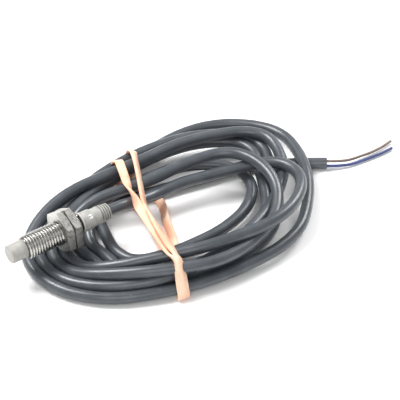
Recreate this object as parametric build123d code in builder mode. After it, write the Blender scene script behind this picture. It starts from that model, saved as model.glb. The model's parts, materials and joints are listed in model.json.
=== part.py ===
from build123d import *
from math import cos, pi, radians, sin, tan
import os

# An M8 cylindrical inductive proximity sensor with two nuts and a hank of cable.
# X runs along the sensor's axis, from the sensing end to the cable end, and Z is up.
# The origin is on the axis, at the front end of the thread. All sizes are in mm.

# driving dimensions
FLOOR_Z = -12.5            # surface that the cable lies on
THREAD_R = 4.0             # M8 x 1, taken at its major diameter
BARREL_LENGTH = 21.0
BARREL_BORE_R = 3.12
FREE_THREAD = 12.5         # thread ahead of the front nut
CAP_R = 3.1
CAP_FRONT = -5.5           # the sensing face
CAP_SKIRT = 3.0            # how far the cap reaches into the barrel
CAP_WALL = 0.35
NUT_ACROSS_FLATS = 13.0
NUT_THICKNESS = 2.6
NUT_BORE_R = THREAD_R + 0.04
NUT_BEVEL = 0.3
FRONT_NUT_X = 12.9
WASHER_THICKNESS = 0.25
WASHER_R = 5.7
SLIT = 0.35                # gap between the two nuts, which holds a washer
RUNNING_GAP = 0.05
CLAMP_SHOULDER = 21.5
CLAMP_END = 32.4
CLAMP_FRONT_R = 3.4
CLAMP_END_R = 2.7
CABLE_R = 2.0
CABLE_START = 27.5         # end of the jacket inside the clamp
WIRE_R = 0.5
COPPER_R = 0.22
BOARD_TOP = 0.3
BOARD_FRONT = -2.6
BOARD_END = 24.8
COIL_TOP_Z = -2.5
BAND_THICKNESS = 0.8
BAND_WIDTH = 3.2

# the free stretch of cable from the clamp down into the hank
LEAD_ROUTE = [
    (CABLE_START, 0.0, 0.0),
    (36.8, 0.0, 0.0),
    (46.5, 1.2, -3.2),
    (52.0, 2.6, -4.9),
]
# the cable's last stretch, from the hank to the cut end of the jacket
TAIL_ROUTE = [
    (106.6, -6.2, -10.5),
    (109.5, -8.4, -10.5),
    (112.2, -10.0, -10.5),
    (114.9, -11.9, -10.5),
]
# the two bare-ended wires, from the jacket's end
BROWN_ROUTE = [
    (115.4, -11.25, -10.3),
    (118.2, -13.22, -10.3),
    (122.6, -14.4, -11.2),
    (132.0, -15.2, -11.6),
    (137.0, -15.1, -11.6),
    (142.2, -14.2, -11.6),
]
BLUE_ROUTE = [
    (114.52, -12.5, -11.2),
    (117.3, -14.46, -11.2),
    (122.5, -16.4, -11.75),
    (130.6, -17.3, -11.75),
    (135.4, -17.6, -11.75),
    (140.0, -17.4, -11.75),
]

# outline of the wound cable, seen from above, and the opening in its middle
HANK_OUTLINE = [
    (1.0, 2.0), (5.0, 13.0), (13.0, 22.0), (28.0, 27.5), (50.0, 29.0),
    (72.0, 29.5), (88.0, 28.5), (101.0, 24.5), (109.0, 14.0), (110.5, 4.0),
    (108.0, -8.0), (101.5, -20.0), (90.0, -32.0), (76.0, -40.5), (58.0, -44.0),
    (42.0, -43.0), (27.0, -38.0), (14.0, -29.0), (5.0, -17.0), (1.0, -7.0),
]
HANK_OPENING = [
    (22.5, -8.0), (24.5, -1.0), (31.0, 4.0), (41.0, 3.5), (53.0, 0.5),
    (66.0, -1.5), (77.0, -3.5), (82.0, -8.5), (77.5, -13.5), (66.0, -17.5),
    (50.0, -19.0), (34.0, -17.0), (25.5, -13.0),
]
# where the rubber band crosses the hank: its near and far ends, seen from above
BAND_NEAR = (34.4, -43.6)
BAND_FAR = (57.6, 30.9)

os.makedirs("parts", exist_ok=True)
written = []


def save(part, name):
    part.part.label = name
    export_step(part.part, f"parts/{name}.step")
    written.append(name)


def turned(points, mode=Mode.ADD):
    """Revolve an outline of (x, radius) points about the sensor's axis."""
    with BuildSketch(Plane.XZ) as outline:
        with BuildLine():
            Polyline(*points, close=True)
        make_face()
    revolve(outline.sketch, axis=Axis.X, mode=mode)


def bored_rod(x0, x1, outer_r, inner_r, mode=Mode.ADD):
    turned([(x0, inner_r), (x0, outer_r), (x1, outer_r), (x1, inner_r)], mode)


def box_between(low, high, grow=0.0, mode=Mode.ADD):
    """A box from its lowest corner to its highest, grown by a margin on every side."""
    centre = (Vector(*low) + Vector(*high)) * 0.5
    with Locations(centre):
        Box(*[b - a + 2 * grow for a, b in zip(low, high)], mode=mode)


# ---------------------------------------------------------------- sensing head
with BuildPart() as sensing_cap:
    edge = 0.35
    turned([
        (CAP_FRONT, 0), (CAP_FRONT, CAP_R - edge), (CAP_FRONT + edge, CAP_R), (CAP_SKIRT, CAP_R),
        (CAP_SKIRT, CAP_R - CAP_WALL), (CAP_FRONT + 0.45, CAP_R - CAP_WALL), (CAP_FRONT + 0.45, 0),
    ])
    gate_plane = Plane(origin=(CAP_FRONT, 0, 0), x_dir=(0, 1, 0), z_dir=(-1, 0, 0))
    with BuildSketch(gate_plane):
        Circle(0.22)
    extrude(amount=-0.12, mode=Mode.SUBTRACT)
save(sensing_cap, "sensing_cap")

core_front = CAP_FRONT + 0.5
core_back = core_front + 1.7
groove_depth = 1.15
groove_inner_r = 1.05
groove_outer_r = 2.15
lead_y = 1.6
lead_z = BOARD_TOP + 0.1
with BuildPart() as ferrite_core:
    groove_floor = core_front + groove_depth
    turned([
        (core_front, 0), (core_front, groove_inner_r), (groove_floor, groove_inner_r),
        (groove_floor, groove_outer_r), (core_front, groove_outer_r), (core_front, 2.65),
        (core_back, 2.65), (core_back, 0),
    ])
    for side in (-1, 1):
        with BuildSketch(Plane.YZ.offset(groove_floor)):
            with Locations((side * lead_y, lead_z)):
                Circle(0.2)
        extrude(amount=core_back - groove_floor + 0.1, mode=Mode.SUBTRACT)
save(ferrite_core, "ferrite_core")

with BuildPart() as coil_bobbin:
    a = core_front + 0.05
    b = core_front + groove_depth
    flange = 0.12
    turned([
        (a, 1.08), (a, 2.1), (a + flange, 2.1), (a + flange, 1.2),
        (b - flange, 1.2), (b - flange, 2.1), (b, 2.1), (b, 1.08),
    ])
save(coil_bobbin, "coil_bobbin")

with BuildPart() as sensing_coil:
    bored_rod(a + flange, b - flange, 1.95, 1.2)
save(sensing_coil, "sensing_coil")

with BuildPart() as coil_leads:
    for side in (-1, 1):
        with BuildSketch(Plane.YZ.offset(b)):
            with Locations((side * lead_y, lead_z)):
                Circle(0.1)
        extrude(amount=BOARD_FRONT + 0.9 - b)
save(coil_leads, "coil_leads")

# ------------------------------------------------------------- electronics
BOARD_BOX = ((BOARD_FRONT, -2.2, -BOARD_TOP), (BOARD_END, 2.2, BOARD_TOP))
RESIN_GAP = 0.02
with BuildPart() as circuit_board:
    box_between(*BOARD_BOX)
save(circuit_board, "circuit_board")

CHIPS = [
    ("oscillator_chip", [((0.5, -1.5, BOARD_TOP), (4.4, 1.5, 1.4))]),
    ("output_transistor", [((11.5, -1.3, BOARD_TOP), (13.0, 1.3, 1.3))]),
    ("capacitors", [((6.0, -1.6, BOARD_TOP), (7.0, -0.6, 0.9)), ((8.0, 0.4, BOARD_TOP), (9.0, 1.4, 0.9))]),
    ("resistors", [((x, -0.5, -0.75), (x + 0.6, 0.5, -BOARD_TOP)) for x in (2.0, 4.0, 6.0)]),
    ("zener_diode", [((9.5, -0.7, -1.3), (12.0, 0.7, -BOARD_TOP))]),
    ("indicator_led", [((22.9, -0.5, BOARD_TOP), (24.3, 0.5, 0.9))]),
]
for chip_name, boxes in CHIPS:
    with BuildPart() as chip:
        for low, high in boxes:
            box_between(low, high)
    save(chip, chip_name)


def cut_board_space():
    """Leave room in a resin filling for the board and what stands on it."""
    for _, boxes in [("board", [BOARD_BOX])] + CHIPS:
        for low, high in boxes:
            box_between(low, high, grow=RESIN_GAP, mode=Mode.SUBTRACT)


with BuildPart() as head_resin:
    bored_rod(core_back + 0.02, CAP_SKIRT, CAP_R - CAP_WALL - 0.01, 0)
    cut_board_space()
    for side in (-1, 1):
        with BuildSketch(Plane.YZ.offset(core_back)):
            with Locations((side * lead_y, lead_z)):
                Rectangle(0.3, 0.5)
        extrude(amount=2.2, mode=Mode.SUBTRACT)
save(head_resin, "head_resin")

resin_back = 17.8
with BuildPart() as barrel_resin:
    bored_rod(CAP_SKIRT + 0.02, resin_back, BARREL_BORE_R - 0.01, 0)
    cut_board_space()
save(barrel_resin, "barrel_resin")

# ------------------------------------------------------------- threaded barrel
with BuildPart() as threaded_barrel:
    bevel = 0.4
    relief = 0.45
    relief_depth = 0.05
    turned([
        (0, BARREL_BORE_R), (0, THREAD_R - bevel), (bevel, THREAD_R), (FREE_THREAD, THREAD_R),
        (FREE_THREAD + relief, THREAD_R - relief_depth), (FREE_THREAD + 2 * relief, THREAD_R),
        (BARREL_LENGTH - bevel, THREAD_R),
        (BARREL_LENGTH, THREAD_R - bevel), (BARREL_LENGTH, BARREL_BORE_R),
    ])
save(threaded_barrel, "threaded_barrel")


# ------------------------------------------------------------- nuts and washers
def hex_nut(x, first_corner_deg):
    """A hexagon nut, bevelled on both faces, with its corners set by an angle about X."""
    corner_r = NUT_ACROSS_FLATS / 2 / cos(pi / 6)
    with BuildSketch(Plane.YZ.offset(x)) as outline:
        RegularPolygon(corner_r, 6, rotation=first_corner_deg)
        Circle(NUT_BORE_R, mode=Mode.SUBTRACT)
    extrude(outline.sketch, amount=NUT_THICKNESS)
    flat_r = NUT_ACROSS_FLATS / 2 - 0.1
    rim = corner_r + 0.1
    turned([
        (x, 0), (x, flat_r), (x + NUT_BEVEL, rim), (x + NUT_THICKNESS - NUT_BEVEL, rim),
        (x + NUT_THICKNESS, flat_r), (x + NUT_THICKNESS, 0),
    ], mode=Mode.INTERSECT)


def lock_washer(x):
    """A flat ring with outward teeth cut round its edge."""
    bored_rod(x, x + WASHER_THICKNESS, WASHER_R, NUT_BORE_R + 0.04)
    with BuildSketch(Plane.YZ.offset(x)) as notches:
        with PolarLocations(WASHER_R, 12):
            Rectangle(1.0, 0.9)
    extrude(notches.sketch, amount=WASHER_THICKNESS, mode=Mode.SUBTRACT)


rear_nut_x = FRONT_NUT_X + NUT_THICKNESS + SLIT
with BuildPart() as front_nut:
    hex_nut(FRONT_NUT_X, 23)
save(front_nut, "front_nut")

with BuildPart() as rear_nut:
    hex_nut(rear_nut_x, 24)
save(rear_nut, "rear_nut")

with BuildPart() as front_washer:
    lock_washer(FRONT_NUT_X + NUT_THICKNESS + RUNNING_GAP)
save(front_washer, "front_washer")

with BuildPart() as rear_washer:
    lock_washer(rear_nut_x + NUT_THICKNESS + RUNNING_GAP)
save(rear_washer, "rear_washer")

# ------------------------------------------------------------- cable clamp
with BuildPart() as seal_ring:
    bored_rod(BARREL_LENGTH, CLAMP_SHOULDER, 3.65, CAP_R)
save(seal_ring, "seal_ring")

window_x = 24.3
window_r = 0.75
window_lean = 35           # degrees from straight up, towards -Y
window_dir = (0, -sin(radians(window_lean)), cos(radians(window_lean)))
window_plane = Plane(origin=(window_x, 0, 0), x_dir=(1, 0, 0), z_dir=window_dir)
with BuildPart() as cable_clamp:
    cavity_r = 2.5
    turned([
        (resin_back + 0.1, cavity_r), (resin_back + 0.1, CAP_R), (CLAMP_SHOULDER, CAP_R),
        (CLAMP_SHOULDER, CLAMP_FRONT_R - 0.1), (CLAMP_SHOULDER + 0.1, CLAMP_FRONT_R),
        (25.6, CLAMP_FRONT_R), (25.8, CLAMP_FRONT_R - 0.2), (28.6, 3.05),
        (CLAMP_END, CLAMP_END_R), (CLAMP_END, CABLE_R), (CABLE_START, CABLE_R), (CABLE_START, cavity_r),
    ])
    rib_pitch = 0.86
    for i in range(4):
        x = 29.0 + i * rib_pitch
        bored_rod(x, x + 0.42, 3.3, 2.45, mode=Mode.SUBTRACT)
    with BuildSketch(window_plane):
        Circle(window_r)
    extrude(amount=5, mode=Mode.SUBTRACT)
save(cable_clamp, "cable_clamp")

with BuildPart() as led_window:
    with BuildSketch(window_plane.offset(cavity_r + 0.05)):
        Circle(window_r - 0.02)
    extrude(amount=CLAMP_FRONT_R - cavity_r - 0.1)
save(led_window, "led_window")

for wire_name, side in (("brown_lead_inside", 1), ("blue_lead_inside", -1)):
    with BuildPart() as inner_lead:
        with BuildSketch(Plane.YZ.offset(BOARD_END + 0.05)):
            with Locations((side * 0.8, 0)):
                Circle(WIRE_R)
        extrude(amount=CABLE_START - BOARD_END - 0.05)
    save(inner_lead, wire_name)


# ------------------------------------------------------------- cable
def arc_radii(route, name):
    """The largest tangent arc at each corner: 0.45 of the shorter run over tan(half the turn)."""
    points = [Vector(*p) for p in route]
    radii = []
    for before, here, after in zip(points, points[1:], points[2:]):
        turn = (here - before).get_angle(after - here)
        run = min((here - before).length, (after - here).length)
        radii.append(0.45 * run / tan(radians(turn) / 2))
    print(name, "radii", [round(r, 1) for r in radii])
    return radii


def tube(route, name, radius, inner_radius=0, mode=Mode.ADD):
    """A round tube or rod along straight runs joined by tangent arcs."""
    with BuildLine() as path:
        FilletPolyline(*route, radius=arc_radii(route, name))
    spine = path.wire()
    start = Plane(origin=spine @ 0, z_dir=spine % 0)
    with BuildSketch(start) as section_sketch:
        Circle(radius)
        if inner_radius:
            Circle(inner_radius, mode=Mode.SUBTRACT)
    sweep(section_sketch.sketch, path=spine, mode=mode)
    section = pi * (radius ** 2 - inner_radius ** 2)
    print(name, "length", round(spine.length, 2), "section x length", round(section * spine.length, 2))


with BuildPart() as cable_lead:
    tube(LEAD_ROUTE, "cable_lead", CABLE_R)
save(cable_lead, "cable_lead")

with BuildPart() as cable_tail:
    tube(TAIL_ROUTE, "cable_tail", CABLE_R)
save(cable_tail, "cable_tail")

for colour, route in (("brown", BROWN_ROUTE), ("blue", BLUE_ROUTE)):
    with BuildPart() as wire:
        tube(route, f"{colour}_wire", WIRE_R, COPPER_R)
    save(wire, f"{colour}_wire")
    with BuildPart() as copper:
        tube(route, f"{colour}_copper", COPPER_R)
    save(copper, f"{colour}_copper")


# the rubber band is a flat ring that stands across the hank, seen here from its side
band_near = Vector(*BAND_NEAR, FLOOR_Z)
band_far = Vector(*BAND_FAR, FLOOR_Z)
band_dir = (band_far - band_near).normalized()
band_span = (band_far - band_near).length
band_plane = Plane(origin=band_near, x_dir=band_dir, z_dir=band_dir.cross(Vector(0, 0, 1)))
band_peak = 0.61 * band_span   # where it goes over the lead from the clamp



def band_profile(inset):
    """The band's outline seen from its side, drawn inwards by an inset."""
    with BuildSketch(band_plane) as profile:
        with BuildLine():
            Polyline(
                (0, 0), (band_span, 0), (band_span, 7.5), (band_peak + 6, 12.0),
                (band_peak - 6, 12.4), (0, 8.0), close=True,
            )
        make_face()
        if inset:
            offset(amount=-inset, mode=Mode.REPLACE)
    return profile.sketch


with BuildPart() as rubber_band:
    extrude(band_profile(0), amount=BAND_WIDTH / 2, both=True)
    extrude(band_profile(BAND_THICKNESS), amount=BAND_WIDTH / 2, both=True, mode=Mode.SUBTRACT)
save(rubber_band, "rubber_band")

with BuildPart() as cable_coil:
    with BuildSketch(Plane.XY.offset(FLOOR_Z)):
        with BuildLine():
            Spline(*HANK_OUTLINE, periodic=True)
        make_face()
        with BuildLine():
            Spline(*HANK_OPENING, periodic=True)
        make_face(mode=Mode.SUBTRACT)
    extrude(amount=COIL_TOP_Z - FLOOR_Z)
    # room for the nuts along their whole travel, and for the clamp
    nut_path_r = NUT_ACROSS_FLATS / 2 / cos(pi / 6) + 0.6
    with BuildSketch(Plane.YZ.offset(-5)):
        Circle(nut_path_r)
    extrude(amount=27, mode=Mode.SUBTRACT)
    with BuildSketch(Plane.YZ.offset(20)):
        Circle(CLAMP_FRONT_R + 0.8)
    extrude(amount=24, mode=Mode.SUBTRACT)
    # the band squeezes the hank, so nothing of it is outside the band
    reach = 2 * band_span
    with BuildSketch(band_plane) as squeezed:
        Rectangle(reach, reach)
        add(band_plane.to_local_coords(band_profile(BAND_THICKNESS + 0.05)), mode=Mode.SUBTRACT)
    extrude(squeezed.sketch, amount=BAND_WIDTH / 2 + 0.1, both=True, mode=Mode.SUBTRACT)
    tube(LEAD_ROUTE, "room for the lead", CABLE_R + 0.02, mode=Mode.SUBTRACT)
    tube(TAIL_ROUTE, "room for the tail", CABLE_R + 0.02, mode=Mode.SUBTRACT)
save(cable_coil, "cable_coil")
print(len(written), "nodes")
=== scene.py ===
import json
import bpy
import numpy as np
from math import cos, pi, radians, sin
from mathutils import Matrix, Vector


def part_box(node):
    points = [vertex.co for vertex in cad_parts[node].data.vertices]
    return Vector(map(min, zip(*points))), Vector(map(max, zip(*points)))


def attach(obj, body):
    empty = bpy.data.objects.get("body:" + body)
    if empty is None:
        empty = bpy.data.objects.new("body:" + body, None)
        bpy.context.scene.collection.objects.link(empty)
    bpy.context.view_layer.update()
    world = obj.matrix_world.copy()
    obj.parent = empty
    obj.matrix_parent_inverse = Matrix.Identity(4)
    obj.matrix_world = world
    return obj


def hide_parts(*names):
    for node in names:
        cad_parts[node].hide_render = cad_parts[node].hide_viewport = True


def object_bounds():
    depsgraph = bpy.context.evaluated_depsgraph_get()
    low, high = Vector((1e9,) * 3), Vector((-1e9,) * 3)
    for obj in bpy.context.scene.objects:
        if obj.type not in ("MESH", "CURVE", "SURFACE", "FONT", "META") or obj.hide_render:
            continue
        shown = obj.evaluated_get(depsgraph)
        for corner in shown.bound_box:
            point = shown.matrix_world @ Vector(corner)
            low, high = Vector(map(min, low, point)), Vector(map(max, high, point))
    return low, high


# An M8 inductive proximity sensor with its cable wound in a hank under a rubber band.
# X runs along the sensor's axis from the sensing end, Z is up, and lengths are in metres.
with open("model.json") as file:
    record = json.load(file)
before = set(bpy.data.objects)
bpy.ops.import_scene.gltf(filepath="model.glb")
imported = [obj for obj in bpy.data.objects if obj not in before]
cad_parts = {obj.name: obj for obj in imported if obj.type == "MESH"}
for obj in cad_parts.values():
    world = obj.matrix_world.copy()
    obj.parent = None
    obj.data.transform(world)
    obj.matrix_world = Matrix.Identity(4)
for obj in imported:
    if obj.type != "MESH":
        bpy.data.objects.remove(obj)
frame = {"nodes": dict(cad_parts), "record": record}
cad_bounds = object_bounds()
MM = 0.001

# ---------------------------------------------------------------- places and sizes
FLOOR_Z = cad_bounds[0][2]
CABLE_R = 2.0 * MM
THREAD_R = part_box("threaded_barrel")[1][2]
THREAD_FRONT, THREAD_BACK = (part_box("threaded_barrel")[side][0] for side in (0, 1))
PITCH = 1.0 * MM
SAMPLES = 8        # points measured along each piece of the cable's spline

# the free stretches of the cable: from the clamp into the hank, and out to the cut end
LEAD_ROUTE = [
    (0.0275, 0.0, 0.0),
    (0.0368, 0.0, 0.0),
    (0.0430, 0.0006, -0.0020),
    (0.0520, 0.0022, -0.0044),
]
TAIL_ROUTE = [
    (0.0850, 0.0045, -0.0105),
    (0.0950, 0.0005, -0.0105),
    (0.1010, -0.0030, -0.0105),
    (0.1066, -0.0062, -0.0105),
    (0.1122, -0.0100, -0.0105),
    (0.1149, -0.0119, -0.0105),
]

# Each turn of the hank goes clockwise round this centre. It is given by how far it
# reaches at every 30 degrees from +Y on, with the sizes along X stretched, in mm.
HANK_CENTRE = (52.0, -9.0)
HANK_STRETCH = 1.6
TURNS = {
    "top": [12.0, 13.0, 15.5, 27.5, 31.5, 32.0, 25.0, 20.0, 20.0, 22.5, 26.0, 22.0],
    "loop over the middle": [15.0, 17.5, 22.5, 23.0, 24.5, 28.5, 29.0, 25.5, 26.0, 26.5, 29.5, 30.5],
    "second": [30.0, 35.5, 34.0, 25.0, 23.5, 25.5, 26.0, 24.5, 23.0, 20.0, 22.0, 25.0],
    "innermost": [22.0, 24.0, 23.5, 21.0, 17.5, 14.0, 12.0, 13.0, 15.5, 16.5, 20.0, 25.0],
    "outermost": [33.5, 47.5, 43.0, 34.5, 32.5, 35.5, 29.0, 24.0, 25.0, 28.0, 33.5, 32.5],
    "third": [26.5, 32.0, 36.5, 28.0, 24.0, 23.5, 24.5, 25.5, 26.5, 27.5, 30.5, 32.0],
    "last": [34.0, 38.5, 36.5, 26.0, 25.0, 26.0, 26.0, 24.0, 23.0, 21.0, 23.0, 25.0],
}
# how high each turn lies over the floor at its far side, right, near side and left, in mm
TURN_HEIGHTS = {
    "top": [7.0, 8.0, 6.5, 3.0],
    "loop over the middle": [7.0, 10.0, 5.0, 2.0],
    "second": [4.0, 2.0, 2.0, 2.0],
    "innermost": [2.0, 4.0, 3.0, 2.0],
    "outermost": [2.0, 3.0, 4.0, 2.0],
    "third": [6.0, 6.0, 5.0, 2.0],
    "last": [3.5, 3.5, 2.0, 2.0],
}


# how the cable is laid down, in mm and shares per round
SETTLE_ROUNDS = 240
CALM_AFTER = 0.7         # in this last share of the rounds only overlaps are pushed apart
CENTRE_GAP = 1.02        # cable centres stay this many diameters apart
PUSH_SHARE = 0.8
PUSH_UP = 1.35           # strands give way upwards more than sideways
HOME_PULL = 0.03
FALL = 0.03
EVEN_OUT = 0.03
UNDER_SENSOR_X = 24.0    # ahead of here, and this near the axis, one layer fits below the nuts
UNDER_SENSOR_Y = 12.0
UNDER_SENSOR_TOP = 2.3
BAND_MIDDLE = 48.0       # where the band lies between the cable and the floor
BAND_FADE = 12.0
BAND_ROOM = 0.85


# ---------------------------------------------------------------- the cable
def hank_points():
    """The turns' control points, twelve to a turn, in mm above the floor."""
    points = []
    for name, reaches in TURNS.items():
        heights = TURN_HEIGHTS[name] + [TURN_HEIGHTS[name][3]]
        for step, reach in enumerate(reaches):
            bearing = radians(90 - 30 * step)
            x = HANK_CENTRE[0] + HANK_STRETCH * reach * cos(bearing)
            y = HANK_CENTRE[1] + reach * sin(bearing)
            side, part = divmod(step, 3)
            height = heights[side] + (heights[side + 1] - heights[side]) * part / 3
            points.append((x, y, height))
    return points[1:]


def spline_weights(count, steps):
    """Rows that turn control points into points along their quadratic spline."""
    rows = []
    for i in range(1, count - 1):
        for u in np.arange(steps) / steps:
            row = np.zeros(count)
            row[i - 1:i + 2] = (1 - u) ** 2 / 2, 0.5 + u - u * u, u * u / 2
            rows.append(row)
    return np.array(rows)


def settle(points, fixed):
    """Let the cable lie down: strands that would share a place move apart, mostly in height,
    and those under the sensor and its nuts stay in one layer on the floor."""
    home = np.array(points)
    moved = home.copy()
    weights = spline_weights(len(home), SAMPLES)
    spread = weights.T / weights.sum(axis=0).clip(0.5)[:, None]
    order = np.arange(len(weights))
    apart = np.abs(order[:, None] - order[None, :]) > SAMPLES
    gap = 2 * CABLE_R / MM * CENTRE_GAP
    free = np.ones(len(home), bool)
    free[fixed] = False
    for turn in range(SETTLE_ROUNDS):
        line = weights @ moved
        delta = line[:, None, :] - line[None, :, :]
        distance = np.sqrt((delta ** 2).sum(axis=2)) + 1e-6
        short = np.where(apart & (distance < gap), gap - distance, 0)
        share = short ** 2
        push = (delta / distance[:, :, None] * (short * share)[:, :, None]).sum(axis=1)
        push /= np.maximum(share.sum(axis=1), 1e-6)[:, None]
        push[:, 2] *= PUSH_UP
        moved += PUSH_SHARE * (spread @ push)
        if turn < CALM_AFTER * SETTLE_ROUNDS:
            moved[:, :2] += HOME_PULL * (home - moved)[:, :2]
            moved[:, 2] -= FALL
        moved[1:-1, 2] += EVEN_OUT * (moved[:-2, 2] + moved[2:, 2] - 2 * moved[1:-1, 2])
        below = free & (moved[:, 0] < UNDER_SENSOR_X) & (np.abs(moved[:, 1]) < UNDER_SENSOR_Y)
        moved[below, 2] = np.minimum(moved[below, 2], UNDER_SENSOR_TOP)
        over_band = np.clip(2.2 - np.abs(moved[:, 0] - BAND_MIDDLE) / BAND_FADE, 0, 1)
        moved[:, 2] = np.maximum(moved[:, 2], CABLE_R / MM + BAND_ROOM * over_band)
        moved[fixed] = home[fixed]
    return moved


def in_mm(route):
    return [(x / MM, y / MM, (z - FLOOR_Z) / MM) for x, y, z in route]


def curve_object(name, points, radius):
    """A round curve: one open NURBS spline with these control points, in metres."""
    data = bpy.data.curves.new(name, "CURVE")
    data.dimensions = "3D"
    spline = data.splines.new("NURBS")
    spline.points.add(len(points) - 1)
    for point, place in zip(spline.points, points):
        point.co = (*place, 1.0)
        point.radius = radius
    spline.order_u = 3
    spline.use_endpoint_u = True
    spline.resolution_u = 8
    data.bevel_depth = 1.0   # 1 m times each point's radius, so that the curve's own box is right
    data.bevel_resolution = 6
    data.use_fill_caps = True
    piece = bpy.data.objects.new(name, data)
    bpy.context.collection.objects.link(piece)
    return piece


lead = in_mm(LEAD_ROUTE)
tail = in_mm(TAIL_ROUTE)
route = lead + hank_points() + tail
# the lead, and the tail but for its first two points, stay where they are
held = list(range(len(lead))) + list(range(len(route) - len(tail) + 2, len(route)))
laid = settle(route, held)
cable = curve_object("cable", [(x * MM, y * MM, z * MM + FLOOR_Z) for x, y, z in laid], CABLE_R)
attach(cable, "sensor")
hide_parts("cable_lead", "cable_coil", "cable_tail")


# ---------------------------------------------------------------- mesh helpers
def mesh_object(name, vertices, faces, slot, replaces=(), body="sensor"):
    """A smooth-shaded piece from points in mm."""
    mesh = bpy.data.meshes.new(name)
    mesh.from_pydata([Vector(v) * MM for v in vertices], [], faces)
    mesh.validate()
    mesh.shade_smooth()
    piece = bpy.data.objects.new(name, mesh)
    bpy.context.collection.objects.link(piece)
    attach(piece, body)
    if replaces:
        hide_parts(*replaces)
    return piece


def rounded(profile, radius, steps=4):
    """Round the corners of a closed outline of (x, radius) points."""
    out = []
    count = len(profile)
    for i, here in enumerate(profile):
        here = Vector(here)
        before, after = Vector(profile[i - 1]), Vector(profile[(i + 1) % count])
        cut = min(radius, (before - here).length * 0.45, (after - here).length * 0.45)
        start = here + (before - here).normalized() * cut
        end = here + (after - here).normalized() * cut
        for step in range(steps + 1):
            u = step / steps
            out.append((1 - u) ** 2 * start + 2 * u * (1 - u) * here + u * u * end)
    return out


def lathe(name, profile, slot, replaces=(), segments=96, dent=None):
    """Turn a closed outline of (x, radius) points about the sensor's axis."""
    vertices = []
    for x, r in profile:
        for k in range(segments):
            angle = 2 * pi * k / segments
            out = r - (dent(x, angle) if dent else 0)
            vertices.append((x, out * cos(angle), out * sin(angle)))
    faces = []
    count = len(profile)
    for i in range(count):
        for k in range(segments):
            j, m = (i + 1) % count, (k + 1) % segments
            faces.append((i * segments + k, i * segments + m, j * segments + m, j * segments + k))
    return mesh_object(name, vertices, faces, slot, replaces)


# ---------------------------------------------------------------- sensing cap
CAP_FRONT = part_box("sensing_cap")[0][0] / MM
CAP_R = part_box("sensing_cap")[1][2] / MM
CAP_BACK = 2.9
CAP_WALL = 0.3
CAP_FACE = 0.45
cap_outline = [
    (CAP_FRONT, 0.02), (CAP_FRONT, CAP_R), (CAP_BACK, CAP_R), (CAP_BACK, CAP_R - CAP_WALL),
    (CAP_FRONT + CAP_FACE, CAP_R - CAP_WALL), (CAP_FRONT + CAP_FACE, 0.02),
]
cap = lathe("cap", rounded(cap_outline, 0.3), "cap_plastic", ["sensing_cap"])

# the mark where the plastic ran into the mould: a small pit with a raised lip
gate_outline = [
    (CAP_FRONT - 0.03, 0.10), (CAP_FRONT - 0.05, 0.22), (CAP_FRONT - 0.01, 0.34),
    (CAP_FRONT + 0.05, 0.30), (CAP_FRONT + 0.05, 0.10),
]
gate_lip = lathe("gate_lip", gate_outline, "cap_plastic", segments=24)
pit_outline = [
    (CAP_FRONT - 0.01, 0.005), (CAP_FRONT - 0.01, 0.12),
    (CAP_FRONT + 0.05, 0.12), (CAP_FRONT + 0.05, 0.005),
]
gate_pit = lathe("gate_pit", pit_outline, "chip", segments=16)

# ---------------------------------------------------------------- threaded barrel
CREST_R = THREAD_R / MM
ROOT_R = CREST_R - 0.58
BORE_R = 3.13
END_R, END_SLOPE = 3.42, 0.9   # the bevel at both ends of the thread
# one pitch of the thread, as (share of the pitch, radius)
THREAD_FORM = [(0.0, ROOT_R), (0.16, ROOT_R), (0.46, CREST_R - 0.04), (0.5, CREST_R),
               (0.64, CREST_R), (0.68, CREST_R - 0.04), (0.98, ROOT_R + 0.02)]


def barrel_mesh(segments=96):
    """The helical thread between two flat ends, round an open bore."""
    front, back = THREAD_FRONT / MM, THREAD_BACK / MM
    pitch = PITCH / MM
    vertices = []
    rings = 0

    def ring(x_at, r_at):
        nonlocal rings
        for k in range(segments + 1):
            angle = 2 * pi * k / segments
            x = min(max(x_at(k / segments), front), back)
            end_bevel = END_R + END_SLOPE * min(x - front, back - x)
            r = min(r_at, end_bevel)
            vertices.append((x, -r * sin(angle), r * cos(angle)))
        rings += 1

    ring(lambda turn: front, BORE_R)
    for turn_number in range(int((back - front) / pitch) + 1):
        for share, radius in THREAD_FORM:
            start = front + (turn_number - 1 + share) * pitch
            ring(lambda turn, start=start: start + turn * pitch, radius)
    ring(lambda turn: back, BORE_R)
    ring(lambda turn: front, BORE_R)
    faces = []
    row = segments + 1
    for i in range(rings - 1):
        for k in range(segments):
            faces.append((i * row + k, i * row + k + 1, (i + 1) * row + k + 1, (i + 1) * row + k))
    return vertices, faces


barrel = mesh_object("barrel", *barrel_mesh(), "nickel", ["threaded_barrel"])

# ---------------------------------------------------------------- cable clamp
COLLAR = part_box("seal_ring")[1][0] / MM
COLLAR_END = 25.4
BORE_DEPTH = 3.5               # how far the wide bore reaches in from the collar
RIB_START, RIB_PITCH, RIBS, RIB_DEPTH = 28.6, 0.86, 4, 0.6
FLAT_DEPTH, FLAT_TURN = 0.10, 0.6


def clamp_outline():
    """The collar, a smooth neck and the ribs, round the cable's bore."""
    points = [(COLLAR, 2.6), (COLLAR, 3.2), (COLLAR + 0.35, 3.2), (COLLAR + 0.45, 3.4), (25.3, 3.35),
              (25.5, 3.05), (27.6, 2.95), (27.8, 3.08), (RIB_START - 0.2, 3.05)]
    for i in range(RIBS):
        x = RIB_START + i * RIB_PITCH
        r = 3.0 - 0.07 * i
        points += [(x, r - RIB_DEPTH), (x + 0.36, r - RIB_DEPTH), (x + 0.40, r), (x + 0.78, r - 0.02)]
    end = RIB_START + RIBS * RIB_PITCH
    return points + [(end, 2.35), (end, 2.04), (COLLAR + BORE_DEPTH, 2.04), (COLLAR + BORE_DEPTH, 2.6)]


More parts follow.
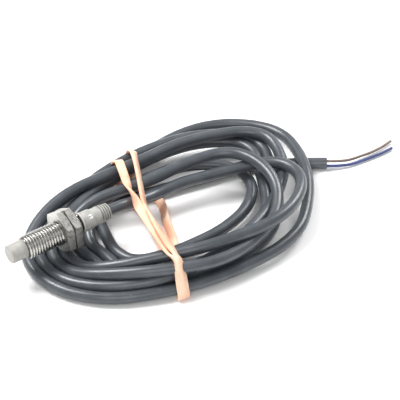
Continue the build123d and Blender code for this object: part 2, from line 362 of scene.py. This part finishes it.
def clamp_dent(x, angle):
    """Two shallow flats along the collar, where it was held in the mould."""
    if x < COLLAR + 0.4 or x > COLLAR_END:
        return 0
    return FLAT_DEPTH * max(0, abs(cos(angle - FLAT_TURN)) - 0.94) / 0.06


clamp = lathe("clamp", rounded(clamp_outline(), 0.09, 2), "clamp_plastic", ["cable_clamp"],
              dent=clamp_dent)

# ---------------------------------------------------------------- rubber band
BAND_WIDTH = 3.1
BAND_THICKNESS = 0.75
BAND_STEPS = 16
BAND_LIFT = 0.6           # how far its middle runs above or beside the cable
BAND_ON_FLOOR = 0.45
BAND_EDGE_LIFT = 1.3      # raises a strand on the floor that stands on its edge
BAND_ENDS = {True: 3.0, False: 0.9}   # its height where it turns round the hank


def hank_edge(x, side):
    """Where the band turns round the hank at this x: just outside the last cable, on one side."""
    beside = line_points[np.abs(line_points[:, 0] - x) < 2.5, 1]
    return (x, float((side * beside).max() * side) + side * (CABLE_R / MM + BAND_LIFT))


line_points = spline_weights(len(laid), SAMPLES) @ laid
BAND_A = [hank_edge(52.0, 1), hank_edge(34.8, -1)]
BAND_B = [hank_edge(59.6, 1), hank_edge(35.8, -1)]


def cable_top(x, y, reach=3.4):
    """How high the laid cable comes near a place seen from above, in mm over the floor."""
    near = np.hypot(line_points[:, 0] - x, line_points[:, 1] - y)
    return float(np.max(np.where(near < reach, line_points[:, 2] + CABLE_R / MM, 0)))


def strand(ends, bows, leans, over):
    """One crossing of the band, from end to end: stretched over the cable, or under it."""
    (x0, y0), (x1, y1) = ends
    plan, heights = [], []
    for i in range(BAND_STEPS + 1):
        u = i / BAND_STEPS
        bow = np.interp(u, *bows) * sin(pi * min(1, max(0, u)))
        x, y = x0 + (x1 - x0) * u + bow, y0 + (y1 - y0) * u
        plan.append((x, y))
        lift = BAND_EDGE_LIFT * abs(sin(radians(np.interp(u, *leans))))
        heights.append(cable_top(x, y) + BAND_LIFT if over else BAND_ON_FLOOR + lift)
    heights[0] = heights[-1] = BAND_ENDS[over]
    # a stretched band bridges every hollow, so each point is raised to the taut line
    taut = list(heights)
    for i in range(BAND_STEPS + 1 if over else 0):
        for a in range(i):
            for b in range(i + 1, BAND_STEPS + 1):
                level = heights[a] + (heights[b] - heights[a]) * (i - a) / (b - a)
                taut[i] = max(taut[i], level)
    stations = []
    for i, (x, y) in enumerate(plan):
        stations.append((x, y, taut[i], float(np.interp(i / BAND_STEPS, *leans))))
    return stations


# along each strand: its bow in mm towards +X, and its lean in degrees
strand_a = strand(BAND_A, ([0, 0.35, 0.6, 0.85, 1], [0, -3.0, -2.5, -2.5, 0]),
                  ([0, 0.3, 0.42, 0.55, 0.68, 0.85, 0.93, 1], [0, 20, 90, 180, 205, 215, 270, 360]),
                  True)
strand_b = strand(BAND_B, ([0, 0.5, 0.85, 1], [0, -4.2, -3.0, 0]),
                  ([0, 0.2, 0.6, 0.8, 0.92, 1], [10, 60, 60, 20, 60, 0]), True)
under_c = strand([BAND_A[1], BAND_B[0]], ([0, 0.36, 0.5, 0.65, 1], [0, 5.1, 4.9, 6.4, 0]),
                 ([0, 0.3, 0.42, 0.6, 0.72, 1], [0, 0, 50, 50, 0, 0]), False)
under_d = strand([BAND_B[1], BAND_A[0]], ([0, 0.5, 1], [0, 3.6, 0]), ([0, 1], [0, 0]), False)


def ribbon(name, stations, width, thickness, across, slot, replaces):
    """A closed flat band through stations of (x, y, height over the floor, lean in degrees)."""
    count = len(stations)
    places = np.array([(x, y, h + FLOOR_Z / MM) for x, y, h, _ in stations])
    leans = np.array([lean for _, _, _, lean in stations])
    parts = 4
    ring = [(-0.5, -0.3), (-0.47, -0.5), (0, -0.5), (0.47, -0.5), (0.5, -0.3),
            (0.5, 0.3), (0.47, 0.5), (0, 0.5), (-0.47, 0.5), (-0.5, 0.3)]
    smooth = []
    for i in range(count):
        p = [places[(i + k) % count] for k in (-1, 0, 1, 2)]
        for step in range(parts):
            u = step / parts
            square = 2 * p[0] - 5 * p[1] + 4 * p[2] - p[3]
            cube = 3 * p[1] - p[0] - 3 * p[2] + p[3]
            place = 0.5 * (2 * p[1] + (p[2] - p[0]) * u + square * u * u + cube * u ** 3)
            turn = (leans[(i + 1) % count] - leans[i] + 180) % 360 - 180
            smooth.append((place, leans[i] + turn * u))
    vertices = []
    total = len(smooth)
    for i, (place, lean) in enumerate(smooth):
        along = Vector(smooth[(i + 1) % total][0] - smooth[i - 1][0]).normalized()
        out = along.cross(across).normalized()
        side = out.cross(along)
        angle = radians(lean)
        normal = out * cos(angle) + side * sin(angle)
        edge = normal.cross(along)
        for a, b in ring:
            vertices.append(Vector(place) + edge * (a * width) + normal * (b * thickness))
    faces = []
    n = len(ring)
    for i in range(total):
        for k in range(n):
            j, m = (i + 1) % total, (k + 1) % n
            faces.append((i * n + k, i * n + m, j * n + m, j * n + k))
    return mesh_object(name, vertices, faces, slot, replaces)


across = (Vector((*BAND_A[1], 0)) - Vector((*BAND_A[0], 0))).cross(Vector((0, 0, 1))).normalized()
band = ribbon("band", strand_a + under_c + strand_b + under_d, BAND_WIDTH, BAND_THICKNESS, across,
              "band_rubber", ["rubber_band"])


# ---------------------------------------------------------------- materials
class Finish:
    """A node material: two colours mixed by noise, uneven roughness and a fine bump."""

    def __init__(self, name, dark, light, grain_mm, roughness, bump_mm=0.0, metallic=0.0,
                 stretch=(1, 1, 1), contrast=(0.35, 0.65), detail=4.0):
        self.material = bpy.data.materials.new(name)
        self.material.use_nodes = True
        self.nodes = self.material.node_tree.nodes
        self.links = self.material.node_tree.links
        self.shader = self.nodes["Principled BSDF"]
        self.shader.inputs["Metallic"].default_value = metallic
        self.place = self.node("ShaderNodeTexCoord").outputs["Object"]
        noise = self.noise(grain_mm, stretch, detail)
        spread = self.ramp(noise, *contrast)
        self.colour = self.mix(spread, dark, light)
        self.links.new(self.colour, self.shader.inputs["Base Color"])
        fine = self.noise(grain_mm * 0.37, stretch, 3.0)
        self.rough = self.ramp(fine, 0.3, 0.7, *roughness)
        self.links.new(self.rough, self.shader.inputs["Roughness"])
        if bump_mm:
            self.bump(fine, bump_mm)

    def node(self, kind):
        return self.nodes.new(kind)

    def noise(self, grain_mm, stretch=(1, 1, 1), detail=4.0):
        mapping = self.node("ShaderNodeMapping")
        mapping.inputs["Scale"].default_value = [1 / s for s in stretch]
        self.links.new(self.place, mapping.inputs["Vector"])
        noise = self.node("ShaderNodeTexNoise")
        noise.inputs["Scale"].default_value = 1 / (grain_mm * MM)
        noise.inputs["Detail"].default_value = detail
        self.links.new(mapping.outputs["Vector"], noise.inputs["Vector"])
        return noise.outputs["Fac"]

    def ramp(self, value, low, high, to_low=0.0, to_high=1.0):
        node = self.node("ShaderNodeMapRange")
        ends = {"From Min": low, "From Max": high, "To Min": to_low, "To Max": to_high}
        for socket, number in ends.items():
            node.inputs[socket].default_value = number
        self.links.new(value, node.inputs["Value"])
        return node.outputs["Result"]

    def mix(self, factor, first, second):
        node = self.node("ShaderNodeMix")
        node.data_type = "RGBA"
        self.links.new(factor, node.inputs[0])
        for socket, value in ((6, first), (7, second)):
            if isinstance(value, tuple):
                node.inputs[socket].default_value = (*value, 1)
            else:
                self.links.new(value, node.inputs[socket])
        return node.outputs[2]

    def recolour(self, factor, second):
        """Lay another colour over the surface where the factor is 1."""
        self.colour = self.mix(factor, self.colour, second)
        self.links.new(self.colour, self.shader.inputs["Base Color"])

    def bump(self, value, height_mm):
        node = self.node("ShaderNodeBump")
        node.inputs["Distance"].default_value = height_mm * MM
        node.inputs["Strength"].default_value = 1.0
        self.links.new(value, node.inputs["Height"])
        if self.shader.inputs["Normal"].is_linked:
            self.links.new(self.shader.inputs["Normal"].links[0].from_socket, node.inputs["Normal"])
        self.links.new(node.outputs["Normal"], self.shader.inputs["Normal"])

    def off_axis(self):
        """Distance from the sensor's axis."""
        split = self.node("ShaderNodeSeparateXYZ")
        self.links.new(self.place, split.inputs[0])
        both = []
        for axis in ("Y", "Z"):
            square = self.node("ShaderNodeMath")
            square.operation = "POWER"
            square.inputs[1].default_value = 2
            magnitude = self.node("ShaderNodeMath")
            magnitude.operation = "ABSOLUTE"
            self.links.new(split.outputs[axis], magnitude.inputs[0])
            self.links.new(magnitude.outputs[0], square.inputs[0])
            both.append(square.outputs[0])
        total = self.node("ShaderNodeMath")
        self.links.new(both[0], total.inputs[0])
        self.links.new(both[1], total.inputs[1])
        root = self.node("ShaderNodeMath")
        root.operation = "SQRT"
        self.links.new(total.outputs[0], root.inputs[0])
        return root.outputs[0]


def set_shader(finish, **values):
    for key, value in values.items():
        finish.shader.inputs[key.replace("_", " ").title()].default_value = value


jacket = Finish("jacket", (0.047, 0.055, 0.064), (0.068, 0.077, 0.088), 6.0, (0.28, 0.40), 0.012)
scuffs = jacket.ramp(jacket.noise(1.1, detail=8.0), 0.66, 0.78)
jacket.recolour(scuffs, (0.13, 0.14, 0.15))
set_shader(jacket, coat_weight=0.2, coat_roughness=0.25)

nickel = Finish("nickel", (0.42, 0.41, 0.385), (0.58, 0.565, 0.53), 2.2, (0.24, 0.42), 0.004, metallic=1.0)
nickel.recolour(nickel.ramp(nickel.noise(0.35, (1, 8, 8)), 0.56, 0.80, 0.0, 0.15), (0.42, 0.41, 0.38))

barrel_finish = Finish("barrel_nickel", (0.40, 0.39, 0.37), (0.56, 0.545, 0.51), 1.6, (0.20, 0.36), 0.004,
                       metallic=1.0)
# painted shade: the thread's roots and the bore turn darker nearer the axis, standing in for the shade that
# falls in these recesses
painted_thread_root_shade = barrel_finish.ramp(barrel_finish.off_axis(), (ROOT_R + 0.02) * MM, (CREST_R - 0.2) * MM, 0.75, 0.0)
barrel_finish.recolour(painted_thread_root_shade, (0.10, 0.095, 0.09))

steel = Finish("washer_steel", (0.34, 0.33, 0.31), (0.52, 0.50, 0.47), 0.9, (0.3, 0.5), 0.006, metallic=1.0)

cap_plastic = Finish("cap_plastic", (0.31, 0.305, 0.28), (0.39, 0.385, 0.355), 2.4, (0.42, 0.6), 0.01)
marks = cap_plastic.ramp(cap_plastic.noise(0.5, detail=7.0), 0.6, 0.75, 0.0, 0.6)
cap_plastic.recolour(marks, (0.23, 0.225, 0.20))
cap_plastic.shader.inputs["Subsurface Weight"].default_value = 0.1
cap_plastic.shader.inputs["Subsurface Scale"].default_value = 0.5 * MM

clamp_plastic = Finish("clamp_plastic", (0.31, 0.31, 0.295), (0.41, 0.41, 0.385), 1.8, (0.32, 0.5), 0.01)
marks = clamp_plastic.ramp(clamp_plastic.noise(0.9, detail=7.0), 0.56, 0.72, 0.0, 0.6)
clamp_plastic.recolour(marks, (0.20, 0.197, 0.185))
# painted shade: everything less than 2.65 mm from the axis (the rib grooves, the end face and the bore) is
# darkened, standing in for the shade that falls in the grooves
painted_groove_shade = clamp_plastic.ramp(clamp_plastic.off_axis(), 2.35 * MM, 2.65 * MM, 0.7, 0.0)
clamp_plastic.recolour(painted_groove_shade, (0.09, 0.088, 0.08))
clamp_plastic.shader.inputs["Subsurface Weight"].default_value = 0.15
clamp_plastic.shader.inputs["Subsurface Scale"].default_value = 0.7 * MM

window_finish = Finish("window", (0.82, 0.82, 0.76), (0.95, 0.95, 0.90), 0.5, (0.08, 0.15))
seal_finish = Finish("seal", (0.38, 0.38, 0.36), (0.50, 0.50, 0.47), 0.7, (0.5, 0.7), 0.01)
resin_finish = Finish("resin", (0.02, 0.02, 0.023), (0.045, 0.045, 0.05), 1.2, (0.15, 0.3), 0.005)
chip_finish = Finish("chip", (0.015, 0.015, 0.017), (0.04, 0.04, 0.042), 0.3, (0.35, 0.55), 0.004)
board_finish = Finish("board", (0.02, 0.13, 0.05), (0.035, 0.19, 0.08), 0.8, (0.25, 0.4), 0.004)
ceramic_finish = Finish("ceramic", (0.40, 0.30, 0.20), (0.56, 0.44, 0.31), 0.4, (0.4, 0.6), 0.004)
ferrite_finish = Finish("ferrite", (0.05, 0.047, 0.045), (0.10, 0.095, 0.09), 0.3, (0.55, 0.8), 0.008)
bobbin_finish = Finish("bobbin_plastic", (0.50, 0.44, 0.30), (0.62, 0.56, 0.40), 0.6, (0.4, 0.55), 0.004)
winding_finish = Finish("winding", (0.52, 0.20, 0.07), (0.72, 0.33, 0.14), 0.25, (0.2, 0.35), 0.01,
                        metallic=0.8)
led_finish = Finish("led_body", (0.80, 0.62, 0.22), (0.92, 0.76, 0.34), 0.4, (0.12, 0.2))
brown_finish = Finish("brown_pvc", (0.14, 0.10, 0.08), (0.21, 0.165, 0.14), 2.5, (0.32, 0.46), 0.006)
blue_finish = Finish("blue_pvc", (0.022, 0.034, 0.13), (0.045, 0.065, 0.20), 2.5, (0.32, 0.46), 0.006)
copper_finish = Finish("copper", (0.55, 0.30, 0.17), (0.76, 0.50, 0.34), 0.2, (0.25, 0.4), 0.02, metallic=1.0,
                       stretch=(6, 1, 1))
band_finish = Finish("band_rubber", (0.80, 0.42, 0.28), (0.92, 0.63, 0.46), 9.0, (0.42, 0.58), 0.02,
                     contrast=(0.38, 0.62))
marks = band_finish.ramp(band_finish.noise(0.7, detail=8.0), 0.62, 0.78, 0.0, 0.45)
band_finish.recolour(marks, (0.80, 0.42, 0.28))
band_finish.shader.inputs["Subsurface Weight"].default_value = 0.25
band_finish.shader.inputs["Subsurface Radius"].default_value = (1.0, 0.45, 0.25)
band_finish.shader.inputs["Subsurface Scale"].default_value = 0.8 * MM

FINISH_OF_SLOT = {
    "jacket": jacket, "nickel": nickel, "washer_nickel": steel, "cap_plastic": cap_plastic,
    "clamp_plastic": clamp_plastic, "window": window_finish, "seal": seal_finish, "resin": resin_finish,
    "chip": chip_finish, "board": board_finish, "ceramic": ceramic_finish, "ferrite": ferrite_finish,
    "bobbin_plastic": bobbin_finish, "winding": winding_finish, "led_body": led_finish,
    "brown_pvc": brown_finish, "blue_pvc": blue_finish, "copper": copper_finish, "band_rubber": band_finish,
}
SLOT_OF_NODE = {part["node"]: part["material_slot"] for part in frame["record"]["subparts"]}
for node, obj in frame["nodes"].items():
    obj.data.materials.clear()
    obj.data.materials.append(FINISH_OF_SLOT[SLOT_OF_NODE[node]].material)
for piece, finish in ((cable, jacket), (cap, cap_plastic), (gate_lip, cap_plastic), (gate_pit, chip_finish),
                      (barrel, barrel_finish), (clamp, clamp_plastic), (band, band_finish)):
    piece.data.materials.append(finish.material)


# ---------------------------------------------------------------- camera, floor and light
CAMERA_TARGET = Vector((0.06358, -0.00787, -0.00524))
CAMERA_DISTANCE = 0.6
CAMERA_RISE = radians(39.5)
CAMERA_HEADING = radians(35.6)   # from +Y towards +X
SENSOR_WIDTH = 36.0
FOCAL_LENGTH = 161.4


def aim(obj, at):
    obj.rotation_euler = (at - obj.location).to_track_quat("-Z", "Y").to_euler()


camera = bpy.data.objects.new("camera", bpy.data.cameras.new("camera"))
bpy.context.collection.objects.link(camera)
heading = Vector((sin(CAMERA_HEADING), cos(CAMERA_HEADING), 0))
away = -heading * cos(CAMERA_RISE) + Vector((0, 0, sin(CAMERA_RISE)))
camera.location = CAMERA_TARGET + away * CAMERA_DISTANCE
aim(camera, CAMERA_TARGET)
camera.data.sensor_width = SENSOR_WIDTH
camera.data.lens = FOCAL_LENGTH
camera.data.clip_start = 0.01
bpy.context.scene.camera = camera

floor_mesh = bpy.data.meshes.new("floor")
FLOOR_REACH = 4.0
FLOOR_GAP = 0.1 * MM
corners = [(-FLOOR_REACH, -FLOOR_REACH), (FLOOR_REACH, -FLOOR_REACH),
           (FLOOR_REACH, FLOOR_REACH), (-FLOOR_REACH, FLOOR_REACH)]
floor_mesh.from_pydata([(x, y, FLOOR_Z - FLOOR_GAP) for x, y in corners], [], [(0, 1, 2, 3)])
floor = bpy.data.objects.new("floor", floor_mesh)
bpy.context.collection.objects.link(floor)
floor_material = bpy.data.materials.new("floor")
floor_material.use_nodes = True
floor_shader = floor_material.node_tree.nodes["Principled BSDF"]
floor_shader.inputs["Base Color"].default_value = (0.93, 0.93, 0.93, 1)
floor_shader.inputs["Roughness"].default_value = 0.7
floor_mesh.materials.append(floor_material)

world = bpy.data.worlds.new("studio")
bpy.context.scene.world = world
world.use_nodes = True
world.node_tree.nodes["Background"].inputs["Color"].default_value = (1, 1, 1, 1)
world.node_tree.nodes["Background"].inputs["Strength"].default_value = 0.55


def area_light(name, place, size, power):
    lamp = bpy.data.objects.new(name, bpy.data.lights.new(name, "AREA"))
    bpy.context.collection.objects.link(lamp)
    lamp.location = place
    lamp.data.size = size
    lamp.data.energy = power
    aim(lamp, Vector((0.055, -0.01, 0)))


area_light("key", (-0.15, 0.35, 0.65), 0.35, 7)
area_light("fill", (-0.35, -0.6, 0.55), 0.5, 2.4)
area_light("side", (0.6, 0.1, 0.45), 0.3, 3.2)
bpy.context.scene.view_settings.view_transform = "Standard"

bpy.context.view_layer.update()
